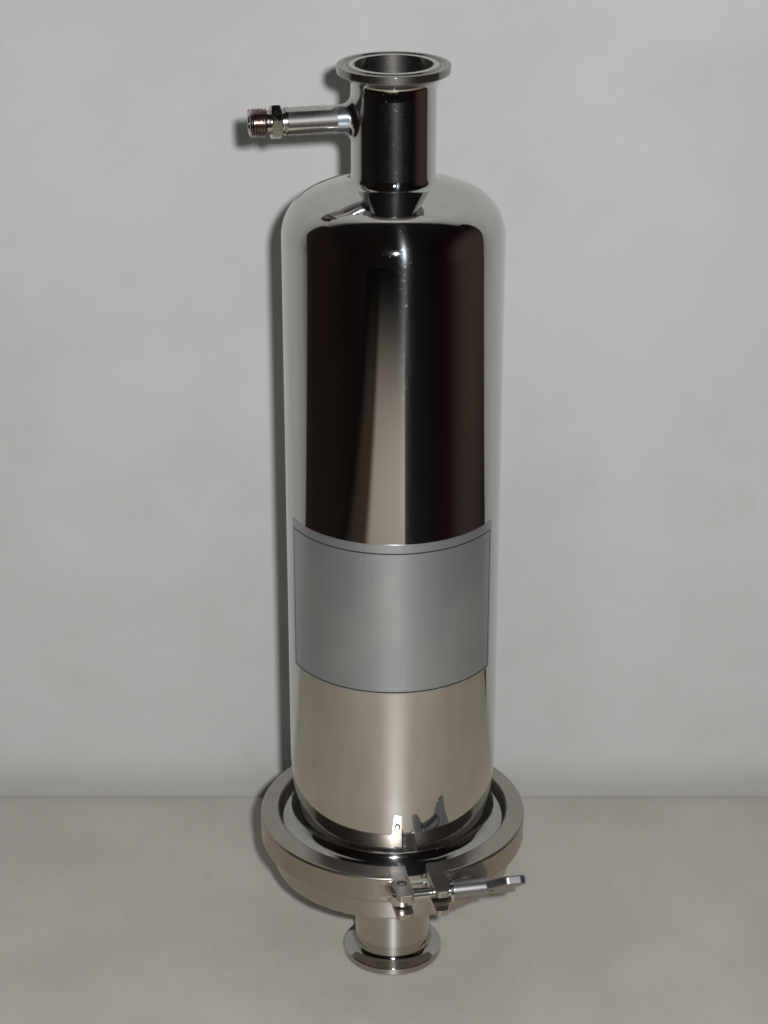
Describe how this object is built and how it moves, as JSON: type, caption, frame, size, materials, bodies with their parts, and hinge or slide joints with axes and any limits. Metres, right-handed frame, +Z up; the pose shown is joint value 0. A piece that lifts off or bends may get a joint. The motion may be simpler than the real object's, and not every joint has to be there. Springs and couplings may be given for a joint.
{
  "type": "tank vent filter housing",
  "caption": "Upright polished stainless vent filter vessel with a domed head, a side vent branch and a hinged clamp over its base, with a pleated cartridge inside.",
  "frame": {"origin": "centre of the outlet ferrule's face, which the vessel stands on", "axes": "+Z is up the vessel's axis to the inlet, -X is the side that the vent branch points to, -Y is the side where the clamp closes and +Y the side of its hinge"},
  "size_m": [0.1328, 0.1629, 0.4631],
  "materials": {
    "body_steel": "mirror polished stainless steel sheet and tube",
    "turned_steel": "turned and polished stainless steel",
    "connector_steel": "machined stainless steel with a stained thread",
    "clamp_steel": "cast stainless steel, tumbled and polished",
    "fastener_steel": "bright machined stainless steel",
    "nut_steel": "cast stainless steel with a grainy skin",
    "gasket_silicone": "translucent white silicone",
    "cartridge_plastic": "moulded white polypropylene",
    "o_ring_rubber": "black rubber",
    "pleated_membrane": "folded white membrane"
  },
  "bodies": {
    "housing": {"outlet_ferrule": "turned_steel", "outlet_tube": "body_steel", "socket_cup": "turned_steel", "base_flange": "turned_steel", "bayonet_ring": "turned_steel", "body_gasket": "gasket_silicone", "bowl_flange": "turned_steel", "bowl_tube": "body_steel", "dome_head": "body_steel", "inlet_tube": "body_steel", "inlet_ferrule": "turned_steel", "vent_tube": "body_steel", "vent_connector": "connector_steel"},
    "left_half": {"clamp_half_left": "clamp_steel", "hinge_pin": "fastener_steel", "bolt_pin": "fastener_steel"},
    "right_half": {"clamp_half_right": "clamp_steel"},
    "bolt": {"swing_bolt": "fastener_steel"},
    "washer": {"nut_washer": "fastener_steel"},
    "nut": {"wing_nut": "nut_steel"},
    "cartridge": {"cartridge_adapter": "cartridge_plastic", "adapter_o_rings": "o_ring_rubber", "cartridge_end_cap": "cartridge_plastic", "cartridge_core": "cartridge_plastic", "pleated_pack": "pleated_membrane", "cartridge_cage": "cartridge_plastic", "cartridge_top_cap": "cartridge_plastic"}
  },
  "joints": [
    {"name": "left_half_swing", "type": "hinge", "parent": "housing", "child": "left_half", "pos_m": [0, 0.074, 0.078], "axis": [0, 0, -1], "range_deg": [0, 0.9]},
    {"name": "right_half_swing", "type": "hinge", "parent": "housing", "child": "right_half", "pos_m": [0, 0.074, 0.078], "axis": [0, 0, 1], "range_deg": [0, 0.9]},
    {"name": "bolt_swing", "type": "hinge", "parent": "left_half", "child": "bolt", "pos_m": [-0.0093, -0.07, 0.078], "axis": [0, 0, -1], "range_deg": [0, 100]},
    {"name": "nut_travel", "type": "slide", "parent": "bolt", "child": "washer", "axis": [1, 0, 0], "range_m": [0, 0.005]},
    {"name": "nut_turn", "type": "hinge", "parent": "washer", "child": "nut", "pos_m": [0.0153, -0.07, 0.078], "axis": [1, 0, 0], "range_deg": [0, 1800]},
    {"name": "cartridge_twist", "type": "hinge", "parent": "housing", "child": "cartridge", "pos_m": [0, 0, 0.0772], "axis": [0, 0, 1], "range_deg": [0, 37]}
  ],
  "couplings": [
    {"joint": "nut_travel", "follows": "nut_turn", "m_per_rad": 0.00015915},
    {"joint": "left_half_swing", "follows": "nut_turn", "ratio": 0.0005},
    {"joint": "right_half_swing", "follows": "nut_turn", "ratio": 0.0005}
  ]
}
